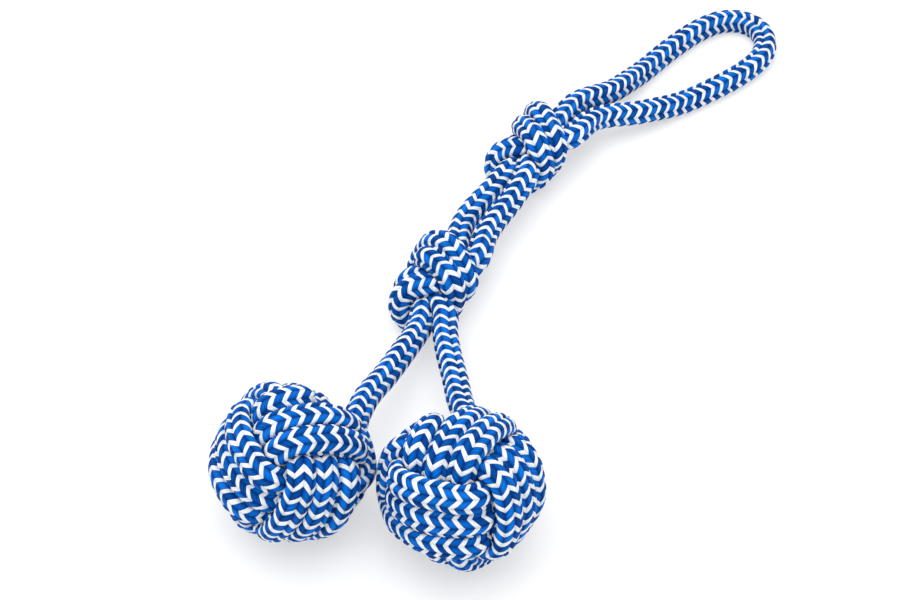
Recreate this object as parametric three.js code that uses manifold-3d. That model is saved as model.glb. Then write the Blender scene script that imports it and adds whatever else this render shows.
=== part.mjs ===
// A rope dog toy: one braided rope, doubled into a handle loop, tied in two doubled overhand
// knots, with a three-pass monkey's fist wound round a core ball on each of its two legs.
// Millimetres, +Z up. The toy lies on z = 0 with the legs towards -Y and the handle towards +Y.

import * as THREE from 'three';
import { mergeVertices } from 'three/addons/utils/BufferGeometryUtils.js';
import Module from 'manifold-3d';

const wasm = await Module();
wasm.setup();

// Driving dimensions: the rope and its clearances
const rope_diameter = 10;
const wound_gap = 0.55;
const seat_gap = 0.3;
const floor_cut = rope_diameter / 10;
const cutter_overrun = 5;

// Driving dimensions: the layout, from the middle of the lower knot
const neck_span = 78;
const neck_angle = 60.8;
const left_leg_span = 103.3;
const left_leg_angle = -119.5;
const right_leg_span = 100.7;
const right_leg_angle = -85.2;
const handle_span = 125.6;
const handle_half_width = 15;
const handle_angle = 38.8;
const lower_knot_angle = 69;
const upper_knot_angle = 52;

// Driving dimensions: the balls, in rope diameters apart from the core
const core_diameter = 26;
const fist_outer_share = 2.46;
const fist_inner_share = 1.73;
const fist_core_share = 1.7;
const fist_pitch_share = 0.985;
const fist_flat_share = 0.75;
const fist_lead_share = 0.65;
const left_ball_turn = [-10.4, 26.5, -159.2];
const right_ball_turn = [-25.5, 0.7, -120.4];

// Driving dimensions: the knots, in rope diameters. Contacts press harder inside a knot.
const knot_inner_share = 0.6;
const knot_outer_share = 0.92;
const knot_drawn_share = 3.4;
const lead_bend_start_share = 1;
const lead_bend_length_share = 1.4;
const lead_shift_start_share = 0.5;
const lead_shift_length_share = 1.7;
const lower_knot_roll = 0;
const upper_knot_roll = 325;
const lower_knot_leads = {
  top: { reach_share: 2.4, turn: 4, shift_share: 0.32, roll: 12 },
  bottom: { reach_share: 1.9, turn: 11, shift_share: 0.4, roll: 5 },
};
const upper_knot_leads = {
  top: { reach_share: 2.4, turn: 12, shift_share: 0.15, roll: 0 },
  bottom: { reach_share: 2.4, turn: 14, shift_share: 0.2, roll: 12 },
};

const pair_share = (rope_diameter + seat_gap) / rope_diameter / 2;

const radians = THREE.MathUtils.degToRad;
const smoothRamp = (t) => THREE.MathUtils.smoothstep(t, 0, 1);
const vector = (x, y, z) => new THREE.Vector3(x, y, z);

const rope_blue = new THREE.MeshStandardMaterial({ color: 0x2f74d0, roughness: 0.85, metalness: 0 });
const core_grey = new THREE.MeshStandardMaterial({ color: 0xb9b4a8, roughness: 0.7, metalness: 0 });

// Spreads count points evenly along a polyline
function resample(points, count) {
  const along = [0];
  for (let i = 1; i < points.length; i += 1) {
    along.push(along[i - 1] + points[i].distanceTo(points[i - 1]));
  }
  const total = along[along.length - 1];
  const out = [];
  let i = 0;
  for (let k = 0; k < count; k += 1) {
    const at = (total * k) / (count - 1);
    while (i < points.length - 2 && along[i + 1] < at) i += 1;
    const share = (at - along[i]) / (along[i + 1] - along[i]);
    out.push(points[i].clone().lerp(points[i + 1], Math.min(share, 1)));
  }
  return out;
}

// Draws strands of rope tight, in rope diameters. Each round pulls every segment to its length,
// evens the bends and pushes passes apart where they come nearer than the touch distance. Rope
// slides freely, so the strands settle as a knot does when it is worked tight by hand. Passes keep
// the inner distance at the middle and the touch distance outside; flat is their thickness there
// as a share of their width, and tie draws each point back to where it started.
function settle(strands, options) {
  const { rounds, passes, ends, straight, drift } = options;
  const { touch, inner, flat, bend, tie, shrink, hold, core } = options;
  const count = strands[0].length;
  const total = count * strands.length;
  const p = new Float64Array(total * 3);
  strands.flat().forEach((point, i) => point.toArray(p, i * 3));
  const near_share = 1.6;
  const inner_depth_share = 0.6;
  const lengths = strands.map((strand) => strand[1].distanceTo(strand[0]));
  const home = p.slice();
  const pinned = new Map(ends.map((end) => [end.strand * count + end.index, end]));
  const middle = new Float64Array(total * 3);
  const push = new Float64Array(total * 3);
  const pushes = new Float64Array(total);

  const pullSegment = (i, length) => {
    const a = i * 3;
    const b = a + 3;
    const d = [p[b] - p[a], p[b + 1] - p[a + 1], p[b + 2] - p[a + 2]];
    const now = Math.hypot(...d);
    const weightA = pinned.has(i) ? 0 : 1;
    const weightB = pinned.has(i + 1) ? 0 : 1;
    const step = (now - length) / now / Math.max(weightA + weightB, 1);
    for (let k = 0; k < 3; k += 1) {
      p[a + k] += d[k] * step * weightA;
      p[b + k] -= d[k] * step * weightB;
    }
  };

  for (let round = 0; round < rounds; round += 1) {
    const moved = Math.min(1, round / (rounds * 0.3));
    for (const [i, end] of pinned) end.from.clone().lerp(end.to, moved).toArray(p, i * 3);

    // Pairs that may touch in this round
    const near = [];
    for (let i = 0; i < total; i += 1) {
      const strand = Math.floor(i / count);
      const skip = Math.ceil((1.3 * touch) / lengths[strand]);
      for (let j = i + 1; j < total; j += 1) {
        if (Math.floor(j / count) === strand && j - i <= skip) continue;
        const x = p[j * 3] - p[i * 3];
        const y = p[j * 3 + 1] - p[i * 3 + 1];
        const z = p[j * 3 + 2] - p[i * 3 + 2];
        if (x * x + y * y + z * z > touch * touch * near_share * near_share) continue;
        const [a, b] = [i * 3, j * 3];
        const depth = Math.hypot(p[a] + p[b], p[a + 1] + p[b + 1], p[a + 2] + p[b + 2]) / 2;
        near.push([a, b, THREE.MathUtils.lerp(inner, touch, smoothRamp(depth - inner_depth_share))]);
      }
    }

    for (let pass = 0; pass < passes; pass += 1) {
      for (let s = 0; s < strands.length; s += 1) {
        const first = s * count;
        for (const odd of [0, 1]) {
          for (let i = first + odd; i < first + count - 1; i += 2) pullSegment(i, lengths[s]);
        }
        for (let i = (first + 1) * 3; i < (first + count - 1) * 3; i += 1) {
          middle[i] = (p[i - 3] + p[i + 3]) / 2;
        }
        for (let i = (first + 1) * 3; i < (first + count - 1) * 3; i += 1) {
          p[i] += (middle[i] - p[i]) * bend;
        }
      }
      // The rope runs straight along the axis next to each held end
      for (const [i, end] of pinned) {
        if (moved < 1) continue;
        const inward = end.index === 0 ? 1 : -1;
        for (let k = 1; k < 16; k += 1) {
          const j = (i + inward * k) * 3;
          if (Math.abs(p[j + 1] - end.to.y) > straight) break;
          p[j] = end.to.x;
          p[j + 2] = end.to.z;
        }
      }
      push.fill(0);
      pushes.fill(0);
      for (const [a, b, least] of near) {
        const d = [p[b] - p[a], p[b + 1] - p[a + 1], p[b + 2] - p[a + 2]];
        const out = [p[b] + p[a], p[b + 1] + p[a + 1], p[b + 2] + p[a + 2]];
        const depth = (d[0] * out[0] + d[1] * out[1] + d[2] * out[2]) / Math.hypot(...out);
        const now = Math.sqrt(d[0] ** 2 + d[1] ** 2 + d[2] ** 2 - depth ** 2 + (depth / flat) ** 2);
        if (now >= least) continue;
        for (let k = 0; k < 3; k += 1) {
          const part = (d[k] * (least / now - 1)) / 2;
          push[a + k] -= part;
          push[b + k] += part;
        }
        pushes[a / 3] += 1;
        pushes[b / 3] += 1;
      }
      for (let i = 0; i < total; i += 1) {
        if (pinned.has(i)) continue;
        const share = 1.6 / Math.max(pushes[i], 1);
        for (let k = i * 3; k < i * 3 + 3; k += 1) {
          p[k] += push[k] * share;
          p[k] += (home[k] - p[k]) * tie;
        }
        const radius = Math.hypot(p[i * 3], p[i * 3 + 1], p[i * 3 + 2]);
        if (radius >= core) continue;
        for (let k = 0; k < 3; k += 1) p[i * 3 + k] *= core / radius;
      }
    }

    // A knot's middle is drawn onto its axis
    if (drift) {
      const reach = Math.abs(ends[0].to.y);
      const mean = [0, 0, 0];
      let inside = 0;
      for (let i = 0; i < total; i += 1) {
        if (Math.abs(p[i * 3 + 1]) > drift.half_length) continue;
        inside += 1;
        for (let k = 0; k < 3; k += 1) mean[k] += p[i * 3 + k];
      }
      for (let i = 0; i < total; i += 1) {
        const radius = Math.hypot(p[i * 3], p[i * 3 + 1], p[i * 3 + 2]);
        const fall = THREE.MathUtils.clamp((reach - radius) / reach, 0, 1);
        for (let k = 0; k < 3; k += 1) p[i * 3 + k] -= (mean[k] / inside) * drift.share * fall;
      }
    }

    // Each strand shortens until its contacts hold it
    for (let s = 0; s < strands.length; s += 1) {
      let length = 0;
      for (let i = s * count; i < (s + 1) * count - 1; i += 1) {
        const a = i * 3;
        length += Math.hypot(p[a + 3] - p[a], p[a + 4] - p[a + 1], p[a + 5] - p[a + 2]);
      }
      if (length / (count - 1) < lengths[s] * hold) lengths[s] *= 1 - shrink;
    }
  }
  return strands.map((strand, s) => strand.map((_, i) => vector().fromArray(p, (s * count + i) * 3)));
}

// How far each ring of each strand can fill its full section with the wound gap kept to the passes
// that aren't its neighbours along the strand, as a share of it; also gives the least gap left.
// sectionAt gives the full section's radius at a point in a direction.
function fillShares(strands, sectionAt) {
  const apart = 1.5 * rope_diameter;
  const points = [];
  strands.forEach((strand, s) => {
    let along = 0;
    strand.forEach((point, i) => {
      if (i) along += point.distanceTo(strand[i - 1]);
      points.push({ point, s, along, share: 1 });
    });
  });
  const contacts = [];
  for (let i = 0; i < points.length; i += 1) {
    for (let j = i + 1; j < points.length; j += 1) {
      const [a, b] = [points[i], points[j]];
      if (a.s === b.s && b.along - a.along < apart) continue;
      const line = b.point.clone().sub(a.point);
      const distance = line.length();
      if (distance > rope_diameter + wound_gap) continue;
      line.divideScalar(distance);
      const [first, second] = [sectionAt(a.point, line), sectionAt(b.point, line)];
      const share = (distance - wound_gap) / (first + second);
      a.share = Math.min(a.share, share);
      b.share = Math.min(b.share, share);
      contacts.push({ a, b, distance, first, second });
    }
  }
  const gaps = contacts.map(({ a, b, distance, first, second }) => (
    distance - a.share * first - b.share * second
  ));
  const shares = strands.map((_, s) => (
    points.filter((entry) => entry.s === s).map(({ share }) => share)
  ));
  return { shares, least_gap: Math.min(...gaps) };
}

// The doubled overhand knot, in rope diameters: its axis is Y, and the pair lies side by side in
// X where it enters and leaves. A trefoil curve, cut open at one lobe, gives the way it is tied.
function knotStrands(roll, leads) {
  const loose_share = 1.7;
  const opening = 0.42;
  const tie_reach_share = 6.5;
  const lobe_rise_share = 0.8;
  const pair_tilt = radians(30);
  const axis_offset = 2 * loose_share;
  const lobes = [];
  const samples = 200;
  for (let i = 0; i < samples; i += 1) {
    const t = opening + ((2 * Math.PI - 2 * opening) * i) / (samples - 1);
    const radius = 2 + Math.cos(3 * t);
    const rise = -Math.sin(3 * t) * lobe_rise_share;
    const lobe = vector(radius * Math.cos(2 * t), radius * Math.sin(2 * t), rise);
    lobes.push(lobe.multiplyScalar(loose_share));
  }
  const entry = [1, 0.75].map((share) => vector(axis_offset, tie_reach_share * share, 0));
  const exit = [0.75, 1].map((share) => vector(axis_offset, -tie_reach_share * share, 0));
  let path = resample([...entry, ...lobes, ...exit], 400);
  for (let turn = 0; turn < 40; turn += 1) {
    const evened = path.map((point, i) => {
      if (!i || i === path.length - 1) return point.clone();
      return point.clone().multiplyScalar(2).add(path[i - 1]).add(path[i + 1]).divideScalar(4);
    });
    path = evened;
  }
  path.forEach((point) => point.setX(point.x - axis_offset));

  const strands = [-1, 1].map((side) => {
    const offset = path.map((point, i) => {
      const before = path[Math.max(i - 1, 0)];
      const after = path[Math.min(i + 1, path.length - 1)];
      const along = after.clone().sub(before).normalize();
      const across = vector(-along.y, along.x, 0).normalize();
      const lift = along.clone().cross(across);
      const tilted = across.multiplyScalar(Math.cos(pair_tilt)).addScaledVector(lift, Math.sin(pair_tilt));
      return point.clone().addScaledVector(tilted, side / 2);
    });
    offset.forEach((point) => point.applyAxisAngle(vector(0, 1, 0), radians(roll)));
    return resample(offset, 84);
  });

  const ends = [];
  for (const index of [0, 83]) {
    const first_side = strands[0][index].x > strands[1][index].x ? 1 : -1;
    [first_side, -first_side].forEach((side, strand) => {
      const from = strands[strand][index].clone();
      const to = vector(side * pair_share, Math.sign(from.y) * knot_drawn_share, 0);
      ends.push({ strand, index, from, to });
    });
  }
  const settle_rounds = 420;
  const straight_share = 0.9;
  const half_length_share = 2.2;
  const drawn = settle(strands, {
    rounds: settle_rounds,
    passes: 7,
    touch: knot_outer_share,
    inner: knot_inner_share,
    flat: 1,
    bend: 0.12,
    tie: 0,
    shrink: 0.006,
    hold: 1.1,
    core: 0,
    ends,
    straight: straight_share,
    drift: { half_length: half_length_share, share: 0.03 },
  });

  // Each strand is cut where its pair leaves the knot's body, and its leads then bend
  return drawn.map((strand) => {
    const half = strand.length / 2;
    const first = strand.findLastIndex((point, i) => i < half && point.y >= leads.top.reach_share);
    const last = strand.findIndex((point, i) => i > half && point.y <= -leads.bottom.reach_share);
    return strand.slice(first, last + 1).map((point) => bendLead(point, leads));
  });
}

// A lead's pair rolls over on its axis, shifts to the right and bends that way on an arc
function bendLead(point, leads) {
  const way = Math.sign(point.y) || 1;
  const { turn, shift_share, roll } = way > 0 ? leads.top : leads.bottom;
  const deep = Math.abs(point.y);
  const beyond_start = deep - lead_bend_start_share;
  const rolled = radians(roll) * smoothRamp(beyond_start / lead_bend_length_share);
  const shift = shift_share * smoothRamp((deep - lead_shift_start_share) / lead_shift_length_share);
  const side = point.x * Math.cos(rolled) - point.z * Math.sin(rolled) + shift;
  const radius = lead_bend_length_share / radians(turn);
  const angle = THREE.MathUtils.clamp(beyond_start / radius, 0, radians(turn));
  const straight = Math.max(beyond_start - lead_bend_length_share, 0) + Math.min(beyond_start, 0);
  const [cos, sin] = [Math.cos(angle), Math.sin(angle)];
  return vector(
    radius * (1 - cos) + straight * sin + side * cos,
    way * (lead_bend_start_share + radius * sin + straight * cos - side * sin),
    point.x * Math.sin(rolled) + point.z * Math.cos(rolled),
  );
}

// The three-pass monkey's fist, in rope diameters: three sets of passes, each outside on one pair
// of faces and inside on the next, wound as one rope. It starts with the leg's lead, which lies
// along the -X face at +Z, and its tail ends hidden under that pass.
function fistStrand() {
  const [x, y, z] = [vector(1, 0, 0), vector(0, 1, 0), vector(0, 0, 1)];
  const sets = [[x, y, z], [y, z, x], [z, x, y]];
  const mid = (fist_outer_share + fist_inner_share) / 2;
  const half = (fist_outer_share - fist_inner_share) / 2;
  const dive = radians(54);
  const sharpness = 3;
  const spread_share = 0.99;
  const corner_shares = [[2.85, 1.7, 1.35], [2.1, 2.5, 1.6], [1.35, 3.1, 1.15]];
  const first_shift_degrees = 270;
  const second_shift_degrees = 630;
  const shift_length_degrees = 60;

  const place = ([outward, inward, stacked], angle, offset) => {
    const swing = sharpness * (Math.cos(2 * angle) - Math.cos(2 * dive));
    const full = Math.tanh(sharpness * (1 - Math.cos(2 * dive)));
    const radius = mid + (half * Math.tanh(swing)) / full;
    const level = Math.sqrt(radius * radius - offset * offset);
    return vector(0, 0, 0)
      .addScaledVector(outward, level * Math.cos(angle))
      .addScaledVector(inward, level * Math.sin(angle))
      .addScaledVector(stacked, offset);
  };

  const points = [];
  const first = place(sets[0], Math.PI, spread_share);
  for (let k = 8; k > 0; k -= 1) points.push(first.clone().addScaledVector(y, (-fist_lead_share * k) / 8));
  sets.forEach((set, n) => {
    const last_degrees = n < 2 ? -732 : -780;
    for (let degrees = n ? 178 : 180; degrees > last_degrees; degrees -= 15) {
      const turned = 180 - degrees;
      const first_shift = smoothRamp((turned - first_shift_degrees) / shift_length_degrees + 0.5);
      const second_shift = smoothRamp((turned - second_shift_degrees) / shift_length_degrees + 0.5);
      points.push(place(set, radians(degrees), spread_share * (1 - first_shift - second_shift)));
    }
    if (n === 2) return;
    for (const [out, back, down] of corner_shares) {
      const corner = vector(0, 0, 0)
        .addScaledVector(set[0], out)
        .addScaledVector(set[1], -back)
        .addScaledVector(set[2], -down);
      points.push(corner.setLength(fist_outer_share));
    }
  });

  const strand = resample(points, 240);
  const start = strand[0].clone();
  const loose_end_points = 3;
  const settle_rounds = 120;
  const drawn = settle([strand], {
    rounds: settle_rounds,
    passes: 6,
    touch: fist_pitch_share,
    inner: fist_pitch_share,
    flat: fist_flat_share,
    bend: 0.12,
    tie: 0.05,
    shrink: 0,
    hold: 0,
    core: fist_core_share,
    ends: [{ strand: 0, index: 0, from: start, to: start }],
    straight: 1,
    drift: null,
  })[0];
  return drawn.slice(0, -loose_end_points);
}

// A closed tube along points. outwardAt gives each ring's first direction, or nothing where the
// ring carries on untwisted from the last one; radiiAt gives its half sizes that way and across.
function tubeGeometry(points, outwardAt, radiiAt, sides) {
  const rings = points.length;
  const positions = [];
  const normal = vector(0, 0, 1);
  points.forEach((point, i) => {
    const before = points[Math.max(i - 1, 0)];
    const after = points[Math.min(i + 1, rings - 1)];
    const along = after.clone().sub(before).normalize();
    normal.copy(outwardAt(point) ?? normal);
    normal.addScaledVector(along, -normal.dot(along)).normalize();
    const across = along.clone().cross(normal);
    const [thick, wide] = radiiAt(i);
    for (let k = 0; k < sides; k += 1) {
      const angle = (2 * Math.PI * k) / sides;
      const rim = point.clone()
        .addScaledVector(normal, thick * Math.cos(angle))
        .addScaledVector(across, wide * Math.sin(angle));
      positions.push(...rim.toArray());
    }
  });
  const index = [];
  for (let i = 0; i < rings - 1; i += 1) {
    for (let k = 0; k < sides; k += 1) {
      const a = i * sides + k;
      const b = i * sides + ((k + 1) % sides);
      index.push(a, b, b + sides, a, b + sides, a + sides);
    }
  }
  const last = (rings - 1) * sides;
  for (let k = 1; k < sides - 1; k += 1) {
    index.push(0, k + 1, k);
    index.push(last, last + k, last + k + 1);
  }
  const geometry = new THREE.BufferGeometry();
  geometry.setAttribute('position', new THREE.Float32BufferAttribute(positions, 3));
  geometry.setIndex(index);
  return geometry;
}

function toManifold(geometry) {
  const bare = geometry.clone();
  bare.deleteAttribute('normal');
  bare.deleteAttribute('uv');
  const merged = mergeVertices(bare);
  return new wasm.Manifold(new wasm.Mesh({
    numProp: 3,
    vertProperties: new Float32Array(merged.attributes.position.array),
    triVerts: new Uint32Array(merged.index.array),
  }));
}

function fromManifold(manifold) {
  const mesh = manifold.getMesh();
  const geometry = new THREE.BufferGeometry();
  geometry.setAttribute('position', new THREE.Float32BufferAttribute(mesh.vertProperties, 3));
  geometry.setIndex([...mesh.triVerts]);
  return geometry;
}

// Cuts a solid flat where it stands on the floor, z = 0
function cutAtFloor(geometry) {
  geometry.computeBoundingBox();
  const { min, max } = geometry.boundingBox;
  if (min.z >= 0) return geometry;
  const size = max.clone().sub(min);
  const cutter = new THREE.BoxGeometry(size.x + cutter_overrun, size.y + cutter_overrun, cutter_overrun);
  cutter.translate((min.x + max.x) / 2, (min.y + max.y) / 2, -cutter_overrun / 2);
  return fromManifold(toManifold(geometry).subtract(toManifold(cutter)));
}

const toy = new THREE.Group();

function addPiece(name, geometry, material) {
  const mesh = new THREE.Mesh(geometry, material);
  mesh.name = name;
  toy.add(mesh);
  return mesh;
}

// A free stretch of rope along a smooth curve, with flat ends
function addStretch(name, points, steps, sides = 10) {
  const section = new THREE.Shape();
  for (let k = 0; k < sides; k += 1) {
    const angle = (2 * Math.PI * k) / sides;
    const corner = [Math.cos(angle) * (rope_diameter / 2), Math.sin(angle) * (rope_diameter / 2)];
    if (k) section.lineTo(...corner);
    else section.moveTo(...corner);
  }
  const path = new THREE.CatmullRomCurve3(points, false, 'centripetal');
  const geometry = new THREE.ExtrudeGeometry(section, { steps, extrudePath: path });
  addPiece(name, cutAtFloor(geometry), rope_blue);
}

// Places measured in the plan from the lower knot's middle
const planPlace = (span, degrees) => {
  const angle = radians(degrees);
  return vector(span * Math.cos(angle), span * Math.sin(angle), 0);
};

// A knot's two strands, rolled and turned to their place, lie on the floor by their lowest pass
function addKnot(name, centre, axis_degrees, roll, leads) {
  const strands = knotStrands(roll, leads).map((strand) => (
    resample(strand, 48).map((point) => point.multiplyScalar(rope_diameter))
  ));
  const { shares, least_gap } = fillShares(strands, () => rope_diameter / 2);
  console.log(`${name}: least gap ${least_gap.toFixed(2)} mm`);
  const placed = strands.map((strand, s) => strand.map((point, i) => (
    { radius: (shares[s][i] * rope_diameter) / 2, point }
  )));
  const lowest = Math.min(...placed.flat().map(({ point, radius }) => point.z - radius));
  const height = -lowest - floor_cut;
  const ends = { top: {}, bottom: {} };
  placed.flat().forEach(({ point }) => {
    point.applyAxisAngle(vector(0, 0, 1), radians(axis_degrees - 90));
    point.add(centre).setZ(point.z + height);
  });
  const across = vector(Math.sin(radians(axis_degrees)), -Math.cos(radians(axis_degrees)), 0);
  const along = vector(Math.cos(radians(axis_degrees)), Math.sin(radians(axis_degrees)), 0);
  const middle = centre.clone().setZ(height);
  // The strand at the right of the top end gives its name to the whole strand
  const rightness = placed.map((strand) => strand[0].point.clone().sub(middle).dot(across));
  const order = rightness[0] > rightness[1] ? ['right', 'left'] : ['left', 'right'];
  placed.forEach((strand, s) => {
    const points = strand.map(({ point }) => point);
    const geometry = tubeGeometry(points, () => null, (i) => [strand[i].radius, strand[i].radius], 8);
    addPiece(`${name}_strand_${order[s]}`, cutAtFloor(geometry), rope_blue);
    for (const [end, inner] of [[points[0], points[1]], [points.at(-1), points.at(-2)]]) {
      const level = end.clone().sub(middle).dot(along) > 0 ? 'top' : 'bottom';
      const heading = end.clone().sub(inner).normalize();
      const others = ends[level].all ?? [];
      ends[level].all = [...others, { place: end.clone(), heading }];
    }
  });
  for (const pair of Object.values(ends)) {
    pair.all.sort((one, other) => one.place.dot(across) - other.place.dot(across));
    [pair.left, pair.right] = pair.all;
  }
  return { middle, ends };
}

// A ball: its core and the fist wound round it, turned and set down on the floor. Its passes are
// pressed flat, wide along the ball's face and thin towards its middle.
function addBall(name, centre, turn) {
  const rotation = new THREE.Euler(...turn.map(radians));
  const points = resample(fistStrand(), 198)
    .map((point) => point.multiplyScalar(rope_diameter).applyEuler(rotation));
  const outwardAt = (point) => point.clone().normalize();
  const sectionAt = (point, line) => {
    const out = line.dot(outwardAt(point));
    return rope_diameter / 2 / Math.hypot(Math.sqrt(1 - out * out), out / fist_flat_share);
  };
  const { shares, least_gap } = fillShares([points], sectionAt);
  console.log(`${name}: least gap ${least_gap.toFixed(2)} mm`);
  const radiiAt = (i) => {
    const wide = (shares[0][i] * rope_diameter) / 2;
    return [wide * fist_flat_share, wide];
  };
  const sides = 6;
  const geometry = tubeGeometry(points, outwardAt, radiiAt, sides);
  geometry.computeBoundingBox();
  const height = -geometry.boundingBox.min.z - floor_cut;
  const middle = centre.clone().setZ(height);
  geometry.translate(...middle.toArray());
  addPiece(`${name}_winding`, cutAtFloor(geometry), rope_blue);
  const core = new THREE.SphereGeometry(core_diameter / 2, 16, 12);
  core.rotateX(Math.PI / 2);
  core.translate(...middle.toArray());
  addPiece(`${name}_core`, core, core_grey);
  const heading = points[0].clone().sub(points[1]).normalize();
  return { middle, lead: { place: points[0].clone().add(middle), heading } };
}

// Route of a stretch: it leaves one end square, goes over its way points and meets the other square
function routeBetween(start, way_points, end) {
  const square_length = rope_diameter / 4;
  const away = (from, distance) => from.place.clone().addScaledVector(from.heading, distance);
  return [
    away(start, seat_gap),
    away(start, seat_gap + square_length),
    ...way_points,
    away(end, seat_gap + square_length),
    away(end, seat_gap),
  ];
}

// Two strands that run side by side between two pairs of ends keep their spacing round the bend
function addPair(name, starts, ends, steps) {
  const middleOf = (pair) => ({
    place: pair.left.place.clone().lerp(pair.right.place, 1 / 2),
    heading: pair.left.heading.clone().add(pair.right.heading).normalize(),
    half: pair.left.place.clone().sub(pair.right.place).divideScalar(2),
  });
  const [from, to] = [middleOf(starts), middleOf(ends)];
  const handle = from.place.distanceTo(to.place) / 3;
  const curve = new THREE.CubicBezierCurve3(
    from.place,
    from.place.clone().addScaledVector(from.heading, handle),
    to.place.clone().addScaledVector(to.heading, handle),
    to.place,
  );
  for (const [side, sign] of [['left', 1], ['right', -1]]) {
    const way_points = [1 / 3, 2 / 3].map((t) => (
      curve.getPoint(t).addScaledVector(from.half.clone().lerp(to.half, t), sign)
    ));
    addStretch(`${name}_${side}`, routeBetween(starts[side], way_points, ends[side]), steps);
  }
}

const origin = vector(0, 0, 0);
const lower_knot = addKnot('lower_knot', origin, lower_knot_angle, lower_knot_roll, lower_knot_leads);
const upper_place = planPlace(neck_span, neck_angle);
const upper_knot = addKnot('upper_knot', upper_place, upper_knot_angle, upper_knot_roll, upper_knot_leads);
const left_ball = addBall('left_ball', planPlace(left_leg_span, left_leg_angle), left_ball_turn);
const right_ball = addBall('right_ball', planPlace(right_leg_span, right_leg_angle), right_ball_turn);

// The legs: hand-chosen shares of each leg's span along it, to its left and above the floor
const left_leg_shares = [[0.35, 0.055, 0.155], [0.49, 0.062, 0.179], [0.63, 0.066, 0.21]];
const right_leg_shares = [[0.33, 0.01, 0.15], [0.48, 0.024, 0.175], [0.63, 0.036, 0.21]];
const legRoute = (span, angle, shares) => shares.map(([along, left, high]) => (
  planPlace(along * span, angle).add(planPlace(left * span, angle + 90)).setZ(high * span)
));
const left_route = legRoute(left_leg_span, left_leg_angle, left_leg_shares);
const right_route = legRoute(right_leg_span, right_leg_angle, right_leg_shares);
addStretch('left_leg', routeBetween(lower_knot.ends.bottom.left, left_route, left_ball.lead), 14);
addStretch('right_leg', routeBetween(lower_knot.ends.bottom.right, right_route, right_ball.lead), 14);
addPair('neck_strand', lower_knot.ends.top, upper_knot.ends.bottom, 6);

// The handle: hand-chosen shares of its span from the upper knot's middle, and of its half width
const handle_route_shares = [
  [0.42, 0.56],
  [0.56, 0.78],
  [0.7, 0.95],
  [0.83, 1],
  [0.925, 0.86],
  [0.98, 0.5],
  [1, 0],
];
const handle_low = rope_diameter / 2 - floor_cut;
const handle_along = planPlace(1, handle_angle);
const handle_across = vector(-handle_along.y, handle_along.x, 0);
const handleHeight = (share) => {
  const fall = smoothRamp((share - 0.2) / 0.4);
  return THREE.MathUtils.lerp(upper_knot.middle.z, handle_low, fall);
};
const handlePlace = ([share, width_share], side) => upper_place.clone()
  .addScaledVector(handle_along, share * handle_span)
  .addScaledVector(handle_across, side * width_share * handle_half_width)
  .setZ(handleHeight(share));

const loop_half = (side) => handle_route_shares.map((share) => handlePlace(share, side));
const loop_points = [...loop_half(1), ...loop_half(-1).reverse().slice(1)];
const loop_curve = new THREE.CatmullRomCurve3(loop_points, false, 'centripetal');
const loop_ends = {
  left: { place: loop_points[0], heading: loop_curve.getTangent(0).negate() },
  right: { place: loop_points[loop_points.length - 1], heading: loop_curve.getTangent(1) },
};
addStretch('handle_loop', loop_points, 24);
addPair('handle_root', upper_knot.ends.top, loop_ends, 6);

// The finished toy stands with the middle of its box over the origin
const box = new THREE.Box3().setFromObject(toy);
const box_middle = box.getCenter(vector(0, 0, 0));
toy.position.set(-box_middle.x, -box_middle.y, -box.min.z);

const printed = (point) => point.toArray().map((value) => value.toFixed(2)).join(', ');
const shown = (point) => printed(point.clone().add(toy.position));
console.log(`size ${printed(box.getSize(vector(0, 0, 0)))} mm`);
console.log(`lower knot at ${shown(lower_knot.middle)}; upper knot at ${shown(upper_knot.middle)}`);
console.log(`left ball at ${shown(left_ball.middle)}; right ball at ${shown(right_ball.middle)}`);
console.log(`left lead at ${shown(left_ball.lead.place)}; right lead at ${shown(right_ball.lead.place)}`);

export default toy;
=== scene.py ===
"""The rope dog toy's visible model: braided rope on the part's own route, its cores, a floor and a light."""

import math

import bpy
import numpy as np
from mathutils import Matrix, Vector


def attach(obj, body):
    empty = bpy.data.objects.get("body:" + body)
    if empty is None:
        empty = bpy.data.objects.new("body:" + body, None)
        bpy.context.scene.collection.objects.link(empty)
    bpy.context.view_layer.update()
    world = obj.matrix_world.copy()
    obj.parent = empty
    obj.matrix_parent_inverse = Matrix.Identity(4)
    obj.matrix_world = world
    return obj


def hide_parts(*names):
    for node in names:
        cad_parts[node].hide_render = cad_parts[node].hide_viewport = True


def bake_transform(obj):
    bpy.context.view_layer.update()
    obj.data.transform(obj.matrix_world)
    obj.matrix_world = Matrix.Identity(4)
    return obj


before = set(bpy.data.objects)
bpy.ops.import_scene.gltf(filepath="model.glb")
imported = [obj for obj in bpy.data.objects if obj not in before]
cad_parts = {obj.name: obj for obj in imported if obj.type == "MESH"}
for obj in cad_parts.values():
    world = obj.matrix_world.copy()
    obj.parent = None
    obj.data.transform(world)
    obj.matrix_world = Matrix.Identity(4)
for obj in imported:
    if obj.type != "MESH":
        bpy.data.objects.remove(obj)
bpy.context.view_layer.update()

# Sizes in metres and angles in degrees, but the knots and fists are made in rope diameters.
# The rope's layout is the part's own.
ROPE = 0.010
FLOOR_CUT = ROPE / 10
LOWER_KNOT = np.array([-0.03218, -0.01355, 0.01327])
UPPER_KNOT = np.array([0.00588, 0.05454, 0.01403])
LEFT_BALL = np.array([-0.08304, -0.10346, 0.02633])
RIGHT_BALL = np.array([-0.02375, -0.1139, 0.02713])

# Each knot's axis and roll; then how far its top and bottom leads bend, shift to the right and roll over
LOWER_AXIS, LOWER_ROLL, LOWER_LEADS = 69.0, 0.0, ((4.0, 0.32, 12.0), (11.0, 0.40, 5.0))
UPPER_AXIS, UPPER_ROLL, UPPER_LEADS = 52.0, 325.0, ((12.0, 0.15, 0.0), (14.0, 0.20, 12.0))
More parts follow.
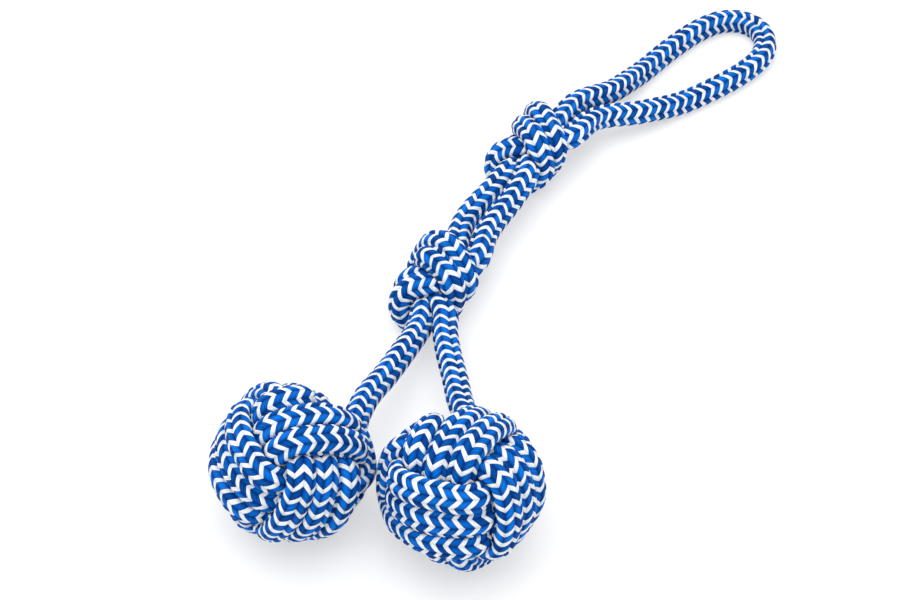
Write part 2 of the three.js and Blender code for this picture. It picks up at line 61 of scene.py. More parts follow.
# How far each knot's strands reach from its middle, at the top and at the bottom
LOWER_REACH, UPPER_REACH = (2.4, 1.9), (2.4, 2.4)
# The knot before it is drawn: its size, where its route opens, how far its crossings rise, how far its
# ends reach, where they start to straighten, and how far its pair of strands is tilted
KNOT_LOOSE, KNOT_OPENING, KNOT_RISE = 1.7, 0.42, 0.8
KNOT_TIED, KNOT_STRAIGHT, KNOT_TILT = 6.5, 0.75, 30.0
# The knot as drawn: how near strands lie at its middle and outside, how far its held ends reach, how far
# these lie from the axis, how far the knot's body reaches, and how fast it is drawn back to its place
KNOT_INNER, KNOT_OUTER, KNOT_DRAWN, PAIR = 0.60, 0.92, 3.4, 0.515
KNOT_BODY, KNOT_DRIFT = 2.2, 0.03
# Points on a knot's route, on the route before it is evened, on each drawn strand, and its evening rounds
LOBE_POINTS, ROUTE_POINTS, STRAND_POINTS, ROUTE_ROUNDS = 200, 400, 84, 40
# Where a knot's leads start to bend and to shift, and over what length
BEND_START, BEND_SPAN, SHIFT_START, SHIFT_SPAN = 1.0, 1.4, 0.5, 1.7

# Points that the legs pass through, from the knot to the ball
LEFT_LEG = np.array(
    [[-0.04504, -0.04782, 0.01601], [-0.05153, -0.06076, 0.01849], [-0.0583, -0.07355, 0.02169]])
RIGHT_LEG = np.array(
    [[-0.0284, -0.04658, 0.01511], [-0.02573, -0.06152, 0.01762], [-0.02326, -0.07647, 0.02115]])

# The fists: how each is turned; how far a set's passes lie apart and how near they may come, their
# flatness, how far outer and inner passes lie from the middle, where and how sharply they dive inwards
LEFT_TURN, RIGHT_TURN = (-10.4, 26.5, -159.2), (-25.5, 0.7, -120.4)
FIST_SPREAD, FIST_TOUCH, FIST_FLAT = 0.99, 0.985, 0.75
FIST_OUTER, FIST_INNER, FIST_DIVE, FIST_SHARP = 2.46, 1.73, 54.0, 3.0
# Then the core's reach, how strongly passes keep their wound places, and the straight lead's length
CORE, FIST_TIE, FIST_LEAD = 1.70, 0.05, 0.65
# The angles at which the first set and the others start, and at which they and the last set end; then the
# step between points, and how far round and over what span a set moves on to its next pass
FIST_START, FIST_NEXT_START, FIST_END, FIST_LAST_END = 180, 178, -732, -780
FIST_STEP, FIST_SHIFTS, FIST_SHIFT_SPAN = 15, (270, 630), 60
# Points on a fist's lead and on its whole strand, and how many are cut off at its tail
FIST_LEAD_POINTS, FIST_POINTS, FIST_TRIM = 8, 240, 3
# The corner that leads from one set to the next, along the set's own axes
FIST_CORNER = ((2.85, 1.7, 1.35), (2.1, 2.5, 1.6), (1.35, 3.1, 1.15))

# Drawing strands tight: the share of the rounds in which their ends travel, how far along itself a strand
# ignores itself and how far it looks for others (squared), both in contact distances, how far a contact's
# push overshoots, how stiff the strands are, where the knot's middle ends, and a straight lead's most points
TRAVEL_SHARE, OWN_SKIP, LOOK_SQUARED, OVERSHOOT = 0.3, 1.3, 2.56, 1.6
STIFFNESS, MIDDLE_END, LEAD_POINTS = 0.12, 0.6, 15

# The hand loop: its direction, its length from the upper knot, half its width, and its outline as shares
HANDLE_ANGLE, HANDLE_SPAN, HANDLE_HALF = 38.8, 0.1256, 0.015
HANDLE_SHARES = ((0.42, 0.56), (0.56, 0.78), (0.7, 0.95), (0.83, 1.0), (0.925, 0.86), (0.98, 0.5), (1.0, 0.0))
HANDLE_FALL_START, HANDLE_FALL_SPAN = 0.2, 0.4
# Points on the loop, on each leg and on each short join, and how far a join's ends run straight
LOOP_POINTS, LEG_POINTS, JOIN_POINTS, JOIN_PULL = 200, 400, 40, 0.36

# The rope's section: points round it, its radius where free, and its half width and height on a ball
AROUND = 48
FREE_RADIUS = 0.0047
BALL_WIDE, BALL_DEEP = 0.0054, 0.0043
# Where pressed, it ignores itself nearer along than the first, looks as far as the second, both in
# diameters, and its free shape passes into its neighbours' faces as sharply as the power says
SELF_SKIP, NEIGHBOURS, SHARPNESS = 1.35, 1.15, 14
FLOOR_CLEAR = 0.00002
# The route's points lie this far apart; the rounds that even its joins, its sections and its bends
POINT_GAP = 0.001
JOIN_ROUNDS, SECTION_ROUNDS, BEND_ROUNDS = 4, 12, 60
# Where the braid's first column starts, at the left ball's tail
FIRST_COLUMN = np.array([0.3, 0.2, 0.9])

# The braid: rows of facets, alternately blue and white, in eight columns round the rope
ROW = 0.0023
COLUMNS = 8
BLUE_SHARE = 1.26
ZIGZAG = 1.1
ROW_JITTER, SEED = 0.05, 11
# Its rows crowd by this much where the rope bends tighter than on a ball
CROWDING, BALL_BEND = 0.9, 0.022
# Each facet's faces across and along it, how far its edges lie inside the rope's radius, how high it
# bulges each way and how squarely, and how far its UVs keep inside its own cell
ACROSS, ALONG = 4, 4
VALLEY = 0.00038
BULGE_ALONG, POWER_ALONG, BULGE_ACROSS, POWER_ACROSS = 0.00022, 2.4, 0.00038, 2.2
UV_INSET = 0.004
# The rope's two tails start this far in and close to a round end over this length, where they keep the
# root of the last share of their radius
TAIL_START, TAIL_ROUND, TAIL_LEAST = 0.003, 0.006, 0.02

# The photograph's camera
TARGET = Vector((-0.02763, -0.02263, 0.015))
CAMERA_ELEVATION = 52.0
CAMERA_DISTANCE = 0.805

# Linear colours, dark to pale; on the rope, the dark ends stand partly for painted shade at the facets' ends
# and sides and between yarns, and partly for each facet's own tone and its fibres
BLUE = ((0.0, 0.014, 0.115, 1), (0.003, 0.19, 0.78, 1))
WHITE = ((0.42, 0.50, 0.62, 1), (0.94, 0.97, 0.985, 1))
CORE_COLOUR = ((0.42, 0.40, 0.35, 1), (0.52, 0.50, 0.45, 1))
# Each facet: its yarns; how steeply and how far painted shade darkens it towards its ends and sides, where it
# dives;
# as a span and a least value, the tones of its own and its fibres, and the painted shade between its yarns;
# and how slowly painted shade darkens a white one
YARNS = 3
PAINTED_END_SHADE, PAINTED_SIDE_SHADE = (2.0, 0.9), (3.0, 0.5)
OWN_TONE, FIBRE_TONE, YARN_GAP_SHADE, WHITE_YARN_GAP_SHADE = (0.7, 0.25), (0.8, 0.6), (0.35, 0.75), (0.15, 0.85)
WHITE_SHADE_POWER = 0.35
# Fibres in a facet, across and along it; the rope's shine and roughness; and its bump's parts
FIBRES_ACROSS, FIBRES_ALONG = 1.5, 16.0
SHINE, ROUGHNESS = 0.03, (0.3, 0.45)
BUMP, YARN_BUMP, FIBRE_BUMP = 0.00032, 0.7, 0.5
CORE_GRAIN, CORE_ROUGHNESS, CORE_BUMP = 900.0, 0.6, 0.0001

FLOOR_HALF, FLOOR_GREY, FLOOR_GLOW = 3.0, 0.9, 0.5
WORLD_STRENGTH = 0.9
LIGHT_PLACE, LIGHT_POWER, LIGHT_SIZE = Vector((-0.15, 0.0, 1.2)), 12.0, 1.2


def set_camera():
    camera = bpy.data.cameras.new("camera")
    camera.lens = 85.0
    camera.sensor_width = 36.0
    camera.clip_start = 0.01
    holder = bpy.data.objects.new("camera", camera)
    bpy.context.scene.collection.objects.link(holder)
    tilt = math.radians(CAMERA_ELEVATION)
    back = Vector((0.0, -math.cos(tilt), math.sin(tilt)))
    holder.location = TARGET + back * CAMERA_DISTANCE
    holder.rotation_euler = back.to_track_quat("Z", "Y").to_euler()
    bpy.context.scene.camera = holder


set_camera()


# Curves


def distances(points):
    """How far along a curve each of its points lies."""
    return np.r_[0, np.cumsum(np.linalg.norm(np.diff(points, axis=0), axis=1))]


def resample(points, count):
    points = np.asarray(points, float)
    along = distances(points)
    at = np.linspace(0, along[-1], count)
    return np.stack([np.interp(at, along, points[:, k]) for k in range(3)], 1)


def smooth(values, rounds):
    """Evens an array along its first axis, in place; its ends stay."""
    for _ in range(rounds):
        values[1:-1] = (values[:-2] + 2 * values[1:-1] + values[2:]) / 4


def ramp(t):
    t = np.clip(t, 0, 1)
    return t * t * (3 - 2 * t)


def bezier(p0, h0, p1, h1, count):
    """A free stretch that leaves p0 along h0 and arrives at p1 against h1."""
    reach = np.linalg.norm(p1 - p0) * JOIN_PULL
    t = np.linspace(0, 1, count)[:, None]
    a, b = p0 + h0 * reach, p1 + h1 * reach
    return (1 - t) ** 3 * p0 + 3 * (1 - t) ** 2 * t * a + 3 * (1 - t) * t * t * b + t ** 3 * p1


def catmull(points, count):
    """A centripetal curve through the points."""
    p = np.vstack([2 * points[0] - points[1], points, 2 * points[-1] - points[-2]])
    out = []
    for i in range(1, len(p) - 2):
        k = [0.0]
        for j in range(3):
            k.append(k[-1] + max(np.linalg.norm(p[i + j] - p[i + j - 1]), 1e-9) ** 0.5)
        for t in np.linspace(k[1], k[2], 24, endpoint=False):
            a = [(p[i - 1 + j] * (k[j + 1] - t) + p[i + j] * (t - k[j])) / (k[j + 1] - k[j])
                 for j in range(3)]
            b = [(a[j] * (k[j + 2] - t) + a[j + 1] * (t - k[j])) / (k[j + 2] - k[j]) for j in range(2)]
            out.append((b[0] * (k[2] - t) + b[1] * (t - k[1])) / (k[2] - k[1]))
    out.append(points[-1])
    return resample(out, count)


# Drawing strands tight


def keep_spacing(p, free, lengths, n):
    """Pulls each strand's points back to their spacing, and evens its bends."""
    for k, length in enumerate(lengths):
        base = k * n
        for odd in (0, 1):
            i = np.arange(base + odd, base + n - 1, 2)
            d = p[i + 1] - p[i]
            now = np.linalg.norm(d, axis=1)[:, None]
            wa, wb = free[i][:, None] * 1.0, free[i + 1][:, None] * 1.0
            step = (now - length) / now / np.maximum(wa + wb, 1) * d
            p[i] += step * wa
            p[i + 1] -= step * wb
        s = p[base:base + n]
        s[1:-1] += ((s[:-2] + s[2:]) / 2 - s[1:-1]) * STIFFNESS


def straighten_leads(p, ends, held, lead):
    """Keeps the points next to each held end on its heading."""
    for end, row in zip(ends, held):
        inward = 1 if end["index"] == 0 else -1
        for k in range(1, LEAD_POINTS + 1):
            deep = (p[row + inward * k] - end["goal"]) @ end["heading"]
            if abs(deep) > lead:
                break
            p[row + inward * k] = end["goal"] + deep * end["heading"]


def push_apart(p, free, a, b, local, flat):
    """Parts the pairs of points that are nearer than their contact distance."""
    d = p[b] - p[a]
    now2 = (d * d).sum(1)
    if flat != 1.0:
        out = p[a] + p[b]
        out /= np.linalg.norm(out, axis=1)[:, None]
        deep = (d * out).sum(1)
        now2 = now2 - deep ** 2 + (deep / flat) ** 2
    hit = now2 < local * local
    now = np.sqrt(now2[hit])[:, None]
    push = d[hit] * (local[hit][:, None] / now - 1) / 2
    total = np.zeros_like(p)
    count = np.zeros(len(p))
    np.add.at(total, a[hit], -push)
    np.add.at(total, b[hit], push)
    np.add.at(count, a[hit], 1)
    np.add.at(count, b[hit], 1)
    move = total / np.maximum(count, 1)[:, None] * OVERSHOOT
    p[free] += move[free]


def settle(strands, ends, rounds, passes, touch, shrink=0.0, hold=0.0, core=0.0, lead=0.9, flat=1.0,
           drift=0.0, inner=None, tie=0.0):
    """Draws strands tight until their contacts hold them, as a knot is worked tight by hand.

    Each end travels from its start to its goal. Then the strands shorten by shrink a round while they are
    less stretched than hold. Near the middle, strands may come as close as inner; outside, as touch.
    """
    n = len(strands[0])
    p = np.vstack(strands)
    which = np.repeat(np.arange(len(strands)), n)
    place = np.tile(np.arange(n), len(strands))
    lengths = [np.linalg.norm(s[1] - s[0]) for s in strands]
    held = np.array([e["strand"] * n + e["index"] for e in ends])
    start = np.array([e["start"] for e in ends])
    goal = np.array([e["goal"] for e in ends])
    free = np.ones(len(p), bool)
    home = p.copy()
    free[held] = False
    first, second = np.triu_indices(len(p), 1)
    same = which[first] == which[second]
    apart = place[second] - place[first]
    for turn in range(rounds):
        moved = min(1.0, turn / (rounds * TRAVEL_SHARE))
        p[held] = start + (goal - start) * moved
        skip = np.array([math.ceil(OWN_SKIP * touch / length) for length in lengths])
        keep = ~same | (apart > skip[which[first]])
        a, b = first[keep], second[keep]
        gap = p[b] - p[a]
        near = (gap * gap).sum(1) < touch * touch * LOOK_SQUARED
        a, b = a[near], b[near]
        local = np.full(len(a), touch)
        if inner is not None:
            deep = np.linalg.norm((p[a] + p[b]) / 2, axis=1)
            local = inner + (touch - inner) * ramp(deep - MIDDLE_END)
        for _ in range(passes):
            keep_spacing(p, free, lengths, n)
            if moved >= 1:
                straighten_leads(p, ends, held, lead)
            push_apart(p, free, a, b, local, flat)
            if tie:
                p[free] += (home[free] - p[free]) * tie
            if core:
                r = np.linalg.norm(p, axis=1)
                deep = free & (r < core)
                p[deep] *= (core / r[deep])[:, None]
        if drift:
            inside = np.abs(p[:, 1]) < KNOT_BODY
            reach = np.abs(goal[0] @ ends[0]["heading"])
            fall = np.clip((reach - np.linalg.norm(p, axis=1)) / reach, 0, 1)[:, None]
            p -= p[inside].mean(0) * drift * fall
        for k in range(len(strands)):
            s = p[k * n:(k + 1) * n]
            if np.linalg.norm(np.diff(s, axis=0), axis=1).mean() < lengths[k] * hold:
                lengths[k] *= 1 - shrink
    return [p[k * n:(k + 1) * n] for k in range(len(strands))]


# The knots and the fists


def knot_strands(roll, leads, reach):
    """The doubled overhand knot in rope diameters, its axis along Y."""
    t = np.linspace(KNOT_OPENING, 2 * np.pi - KNOT_OPENING, LOBE_POINTS)
    r = 2 + np.cos(3 * t)
    lobes = np.stack([r * np.cos(2 * t), r * np.sin(2 * t), -np.sin(3 * t) * KNOT_RISE], 1) * KNOT_LOOSE
    x, y = 2 * KNOT_LOOSE, KNOT_TIED
    above, below = [[x, y, 0], [x, y * KNOT_STRAIGHT, 0]], [[x, -y * KNOT_STRAIGHT, 0], [x, -y, 0]]
    path = resample(np.vstack([above, lobes, below]), ROUTE_POINTS)
    smooth(path, ROUTE_ROUNDS)
    path[:, 0] -= x
    along = np.gradient(path, axis=0)
    along /= np.linalg.norm(along, axis=1)[:, None]
    across = np.stack([-along[:, 1], along[:, 0], 0 * along[:, 0]], 1)
    across /= np.linalg.norm(across, axis=1)[:, None]
    lift = np.cross(along, across)
    tilt, g = math.radians(KNOT_TILT), math.radians(roll)
    side = across * math.cos(tilt) + lift * math.sin(tilt)
    turn = np.array([[math.cos(g), 0, math.sin(g)], [0, 1, 0], [-math.sin(g), 0, math.cos(g)]])
    strands = [resample((path + side * s / 2) @ turn.T, STRAND_POINTS) for s in (-1, 1)]
    held = []
    for index, up in ((0, 1), (STRAND_POINTS - 1, -1)):
        way = np.array([0.0, up, 0.0])
        first = 1 if strands[0][index][0] > strands[1][index][0] else -1
        for strand, sign in ((0, first), (1, -first)):
            goal = way * KNOT_DRAWN + np.array([sign * PAIR, 0, 0])
            start = strands[strand][index].copy()
            held.append({"strand": strand, "index": index, "start": start, "goal": goal, "heading": way})
    drawn = settle(strands, held, rounds=420, passes=7, touch=KNOT_OUTER, shrink=0.006, hold=1.1,
                   drift=KNOT_DRIFT, inner=KNOT_INNER)
    out = []
    for s in drawn:
        half = len(s) // 2
        a = max(i for i in range(half) if s[i][1] >= reach[0])
        b = min(i for i in range(half, len(s)) if s[i][1] <= -reach[1])
        out.append(bend_leads(s[a:b + 1], leads))
    return out


def bend_leads(points, leads):
    """Rolls each pair of leads over, shifts it to the right and bends it that way on an arc."""
    out = points.copy()
    for up, (degrees, shift, roll) in zip((1, -1), leads):
        mine = points[:, 1] * up > 0
        deep = points[mine, 1] * up
        x, z = points[mine, 0], points[mine, 2]
        share = ramp((deep - BEND_START) / BEND_SPAN)
        q = math.radians(roll) * share
        side = x * np.cos(q) - z * np.sin(q) + shift * ramp((deep - SHIFT_START) / SHIFT_SPAN)
        radius = BEND_SPAN / math.radians(degrees)
        angle = np.clip((deep - BEND_START) / radius, 0, BEND_SPAN / radius)
        beyond = np.maximum(deep - BEND_START - BEND_SPAN, 0) + np.minimum(deep - BEND_START, 0)
        out[mine, 0] = radius * (1 - np.cos(angle)) + beyond * np.sin(angle) + side * np.cos(angle)
        arc_y = BEND_START + radius * np.sin(angle)
        out[mine, 1] = (arc_y + beyond * np.cos(angle) - side * np.sin(angle)) * up
        out[mine, 2] = x * np.sin(q) + z * np.cos(q)
    return out


def fist_strand():
    """The three-pass monkey's fist in rope diameters, from the leg's lead to its hidden tail."""
    x, y, z = np.eye(3)
    sets = [(x, y, z), (y, z, x), (z, x, y)]
    mid, half = (FIST_OUTER + FIST_INNER) / 2, (FIST_OUTER - FIST_INNER) / 2
    dive, sharp = math.radians(FIST_DIVE), FIST_SHARP
    full = math.tanh(sharp * (1 - math.cos(2 * dive)))

    def at(axes, angle, offset):
        outward, inward, stacked = axes
        r = mid + half * math.tanh(sharp * (math.cos(2 * angle) - math.cos(2 * dive))) / full
        level = math.sqrt(r * r - offset * offset)
        return outward * level * math.cos(angle) + inward * level * math.sin(angle) + stacked * offset

    first = at(sets[0], math.pi, FIST_SPREAD)
    points = [first - y * FIST_LEAD * k / FIST_LEAD_POINTS for k in range(FIST_LEAD_POINTS, 0, -1)]
    for n, axes in enumerate(sets):
        final = n == len(sets) - 1
        degrees = FIST_START if n == 0 else FIST_NEXT_START
        while degrees > (FIST_LAST_END if final else FIST_END):
            turned = FIST_START - degrees
            shifts = [ramp((turned - middle) / FIST_SHIFT_SPAN + 0.5) for middle in FIST_SHIFTS]
            points.append(at(axes, math.radians(degrees), FIST_SPREAD * (1 - shifts[0] - shifts[1])))
            degrees -= FIST_STEP
        if not final:
            for m in FIST_CORNER:
                corner = axes[0] * m[0] - axes[1] * m[1] - axes[2] * m[2]
                points.append(corner / np.linalg.norm(corner) * FIST_OUTER)
    strand = resample(points, FIST_POINTS)
    held = [{"strand": 0, "index": 0, "start": strand[0].copy(), "goal": strand[0].copy(), "heading": -y}]
    drawn = settle([strand], held, rounds=120, passes=6, touch=FIST_TOUCH, core=CORE, lead=1.0,
                   flat=FIST_FLAT, tie=FIST_TIE)[0]
    return drawn[:-FIST_TRIM]


def turn_matrix(degrees):
    a, b, c = (math.radians(v) for v in degrees)
    rx = np.array([[1, 0, 0], [0, math.cos(a), -math.sin(a)], [0, math.sin(a), math.cos(a)]])
    ry = np.array([[math.cos(b), 0, math.sin(b)], [0, 1, 0], [-math.sin(b), 0, math.cos(b)]])
    rz = np.array([[math.cos(c), -math.sin(c), 0], [math.sin(c), math.cos(c), 0], [0, 0, 1]])
    return rx @ ry @ rz


def placed_knot(centre, axis, roll, leads, reach):
    """The knot's left and right strands in place, each from its top to its bottom."""
    q = math.radians(axis - 90)
    turn = np.array([[math.cos(q), -math.sin(q), 0], [math.sin(q), math.cos(q), 0], [0, 0, 1]])
    strands = [s * ROPE @ turn.T + centre for s in knot_strands(roll, leads, reach)]
    right = turn @ np.array([1.0, 0, 0])
    return sorted(strands, key=lambda s: s[0] @ right)


# The free stretches


def heading(points, at_start):
    d = points[0] - points[2] if at_start else points[-1] - points[-3]
    return d / np.linalg.norm(d)


def join(a, b):
    """A neck strand or handle root, from the end of one section to the start of the next."""
    return bezier(a[-1], heading(a, False), b[0], heading(b, True), JOIN_POINTS)


def leg(a, b, way):
    """A leg from the end of one section to the start of the next, through its own points."""
    through = np.vstack([a[-4], a[-1], way, b[0], b[3]])
    curve = catmull(through, LEG_POINTS)
    first = np.linalg.norm(curve - a[-1], axis=1).argmin()
    last = np.linalg.norm(curve - b[0], axis=1).argmin()
    return curve[first:last + 1]


def handle_side(side):
    """One side of the hand loop's outline: it comes down from the knot and lies on the floor."""
    q = math.radians(HANDLE_ANGLE)
    along, across = np.array([math.cos(q), math.sin(q), 0]), np.array([-math.sin(q), math.cos(q), 0])
    points = []
    for share, width in HANDLE_SHARES:
        fall = float(ramp((share - HANDLE_FALL_START) / HANDLE_FALL_SPAN))
        point = UPPER_KNOT + along * share * HANDLE_SPAN + across * side * width * HANDLE_HALF
        point[2] = UPPER_KNOT[2] + (ROPE / 2 - FLOOR_CUT - UPPER_KNOT[2]) * fall
        points.append(point)
    return points


# The whole rope as one route, from the tail in the left ball to the tail in the right one


def make_sections():
    fist = fist_strand()
    left_ball = (fist * ROPE @ turn_matrix(LEFT_TURN).T + LEFT_BALL)[::-1]
    right_ball = fist * ROPE @ turn_matrix(RIGHT_TURN).T + RIGHT_BALL
    lower_left, lower_right = placed_knot(LOWER_KNOT, LOWER_AXIS, LOWER_ROLL, LOWER_LEADS, LOWER_REACH)
    upper_left, upper_right = placed_knot(UPPER_KNOT, UPPER_AXIS, UPPER_ROLL, UPPER_LEADS, UPPER_REACH)
    lower_left, upper_left = lower_left[::-1], upper_left[::-1]
    loop = catmull(np.array(handle_side(1) + handle_side(-1)[::-1][1:]), LOOP_POINTS)
    return {
        "left_ball": left_ball,
        "left_leg": leg(left_ball, lower_left, LEFT_LEG[::-1]),
        "lower_left": lower_left,
        "neck_left": join(lower_left, upper_left),
        "upper_left": upper_left,
        "root_left": join(upper_left, loop),
        "loop": loop,
        "root_right": join(loop, upper_right),
        "upper_right": upper_right,
        "neck_right": join(upper_right, lower_right),
        "lower_right": lower_right,
        "right_leg": leg(lower_right, right_ball, RIGHT_LEG),
        "right_ball": right_ball,
    }


def lay_rope(sections):
    """Joins the sections, evens the joins, and gives each section's start and end along the rope."""
    parts = [p if k == 0 else p[1:] for k, p in enumerate(sections.values())]
    whole = np.vstack(parts)
    lengths = distances(whole)
    spans, row = {}, 0
    for name, p in zip(sections, parts):
        spans[name] = (lengths[max(row - 1, 0)], lengths[row + len(p) - 1])
        row += len(p)
    count = int(lengths[-1] / POINT_GAP)
    even = resample(whole, count)
    smooth(even, JOIN_ROUNDS)
    length = distances(even)[-1]
    scale = length / lengths[-1]
    return resample(even, count), {name: (a * scale, b * scale) for name, (a, b) in spans.items()}, length


centre, marks, rope_length = lay_rope(make_sections())
arc = np.linspace(0, rope_length, len(centre))
tangent = np.gradient(centre, axis=0)
tangent /= np.linalg.norm(tangent, axis=1)[:, None]


def carry_normals():
    """A direction across the rope at each point that doesn't twist along it."""
    across = np.zeros_like(centre)
    n = FIRST_COLUMN
    for i, t in enumerate(tangent):
        n = n - (n @ t) * t
        n /= np.linalg.norm(n)
        across[i] = n
    return across


normal = carry_normals()
binormal = np.cross(tangent, normal)
angles = np.linspace(0, 2 * np.pi, AROUND, endpoint=False)


# The rope's section, which swells until it meets its neighbours or the floor


def outward(i):
    """The directions round the rope at one of its points."""
    return np.cos(angles)[:, None] * normal[i] + np.sin(angles)[:, None] * binormal[i]


def section_of(name):
    a, b = marks[name]
    return (arc >= a) & (arc <= b)


def free_radii():
    """The rope's own section at each point: round where free, wide and flat on a ball."""
    wide = np.full((len(arc), AROUND), FREE_RADIUS)
    for name, middle in (("left_ball", LEFT_BALL), ("right_ball", RIGHT_BALL)):
        for i in np.nonzero(section_of(name))[0]:
            out = centre[i] - middle
            out /= np.linalg.norm(out)
            deep = outward(i) @ out
            wide[i] = 1 / np.sqrt((1 - deep ** 2) / BALL_WIDE ** 2 + deep ** 2 / BALL_DEEP ** 2)
    for name in ("lower_left", "lower_right", "upper_left", "upper_right"):
        wide[section_of(name)] = ROPE / 2
    smooth(wide, SECTION_ROUNDS)
    return wide


def swell():
    """The rope's radius at each point and direction, held in by its neighbours and the floor."""
    radii = free_radii()
    limit = np.full_like(radii, 1.0)
    for i in range(len(arc)):
        other = np.abs(arc - arc[i]) > SELF_SKIP * ROPE
        d = centre[other] - centre[i]
        d = d[(d * d).sum(1) < (NEIGHBOURS * ROPE) ** 2]
        direction = outward(i)
        if len(d):
            facing = direction @ d.T
            reach = np.where(facing > 1e-6, (d * d).sum(1) / np.maximum(2 * facing, 1e-9), 1.0)
            limit[i] = reach.min(1)
        down = direction[:, 2] < -1e-3
        limit[i, down] = np.minimum(limit[i, down], centre[i, 2] / -direction[down, 2])
    return (radii ** -SHARPNESS + limit ** -SHARPNESS) ** (-1 / SHARPNESS)


radius_map = swell()
wrapped = np.concatenate([radius_map, radius_map[:, :1]], 1)


def radius_at(s, angle):
    u = np.clip(s / rope_length * (len(arc) - 1), 0, len(arc) - 1.001)
    v = (angle / (2 * np.pi) % 1) * AROUND
    i, j = u.astype(int), v.astype(int)
    fu, fv = u - i, v - j
    top = wrapped[i, j] * (1 - fv) + wrapped[i, j + 1] * fv
    low = wrapped[i + 1, j] * (1 - fv) + wrapped[i + 1, j + 1] * fv
    return top * (1 - fu) + low * fu


# The braid


def count_rows():
    """Rows of the braid up to each point: they crowd where the rope bends tighter than on a ball."""
    bend = np.linalg.norm(np.gradient(tangent, arc, axis=0), axis=1)
    smooth(bend, BEND_ROUNDS)
    crowd = 1 + CROWDING * np.maximum(bend - 1 / BALL_BEND, 0) * ROPE / 2
    return np.r_[0, np.cumsum((crowd[1:] + crowd[:-1]) / 2 * np.diff(arc))] / ROW


rows_up_to = count_rows()
total_rows = int(rows_up_to[-1]) + 4
row_jitter = np.random.default_rng(SEED).normal(0, ROW_JITTER, (total_rows + 2, COLUMNS))


def row_at(s):
    return int(round(np.interp(s, arc, rows_up_to)))


def bulge(share, height, power):
    return (1 - np.abs(2 * share - 1) ** power) * height


def braid(name, first_row, last_row):
    """One piece of the rope between two rows of its braid, closed at both ends."""
    rows = (last_row - first_row) * ALONG
    around = COLUMNS * ACROSS
    m, j = np.meshgrid(np.arange(rows + 1), np.arange(around), indexing="ij")
    column, across = j // ACROSS, j % ACROSS / ACROSS

    # How far along the rope: facets zigzag from column to column, and blue rows are longer than white ones
    edge = np.arange(COLUMNS + 1) % 2 * 1.0
    zig = edge[column] * (1 - across) + edge[column + 1] * across
    row = first_row + m / ALONG
    base = np.minimum(row.astype(int), total_rows)
    up = row - base
    odd = base % 2
    row = base + odd * (BLUE_SHARE - 1) + up * np.where(odd, 2 - BLUE_SHARE, BLUE_SHARE)
    beside = (column + 1) % COLUMNS
    near, far = (row_jitter[k, column] * (1 - across) + row_jitter[k, beside] * across
                 for k in (base, base + 1))
    s = np.interp(row + ZIGZAG * zig + (near * (1 - up) + far * up), rows_up_to, arc)

    # How far out: each facet bulges, and the tails close
    angle = 2 * np.pi * j / around
    ridge = bulge(m % ALONG / ALONG, BULGE_ALONG, POWER_ALONG) + bulge(across, BULGE_ACROSS, POWER_ACROSS)
    tail = np.clip((np.minimum(s, rope_length - s) - TAIL_START) / TAIL_ROUND, 0, 1)
    r = (radius_at(s, angle) - VALLEY + ridge) * np.sqrt(np.maximum(1 - (1 - tail) ** 2, TAIL_LEAST))

    u = s / rope_length * (len(arc) - 1)
    i = np.clip(u.astype(int), 0, len(arc) - 2)
    f = (u - i)[..., None]
    middle, n, bn = (v[i] * (1 - f) + v[i + 1] * f for v in (centre, normal, binormal))
    places = middle + r[..., None] * (np.cos(angle)[..., None] * n + np.sin(angle)[..., None] * bn)
    places[..., 2] = np.maximum(places[..., 2], FLOOR_CLEAR)

    # Faces, with each corner's place in its facet as its UV
    fm, fj = np.meshgrid(np.arange(rows), np.arange(around), indexing="ij")
    nj = (fj + 1) % around
    corners = (fm * around + fj, fm * around + nj, (fm + 1) * around + nj, (fm + 1) * around + fj)
    quads = np.stack(corners, -1).reshape(-1, 4)
    u0, u1 = (fj // ACROSS + keep_inside(fj % ACROSS / ACROSS + k / ACROSS) for k in (0, 1))
    v0, v1 = (first_row + fm // ALONG + keep_inside(fm % ALONG / ALONG + k / ALONG) for k in (0, 1))
    uv = np.stack([np.stack(pair, -1) for pair in ((u0, v0), (u1, v0), (u1, v1), (u0, v1))], -2)
    return add_rope_mesh(name, places.reshape(-1, 3), quads, uv.reshape(-1, 2), rows, around)


def keep_inside(share):
    return UV_INSET + share * (1 - 2 * UV_INSET)


def add_rope_mesh(name, places, quads, uv, rows, around):
    last = rows * around
    low, high = len(places), len(places) + 1
    places = np.vstack([places, places[:around].mean(0), places[last:last + around].mean(0)])
    caps = [(low, (j + 1) % around, j) for j in range(around)]
    caps += [(high, last + j, last + (j + 1) % around) for j in range(around)]
    mesh = bpy.data.meshes.new(name)
    mesh.from_pydata(places.tolist(), [], quads.tolist() + caps)
    layer = mesh.uv_layers.new(name="UVMap")
    flat = np.concatenate([uv, np.full((3 * len(caps), 2), 0.5)])
    layer.data.foreach_set("uv", flat.ravel())
    mesh.polygons.foreach_set("use_smooth", np.ones(len(mesh.polygons), bool))
    mesh.update()
    piece = bpy.data.objects.new(name, mesh)
    bpy.context.scene.collection.objects.link(piece)
    piece.data.materials.append(rope_material)
    return piece


# Materials


def new_material(name):
    material = bpy.data.materials.new(name)
    material.use_nodes = True
    return material, material.node_tree.nodes, material.node_tree.links


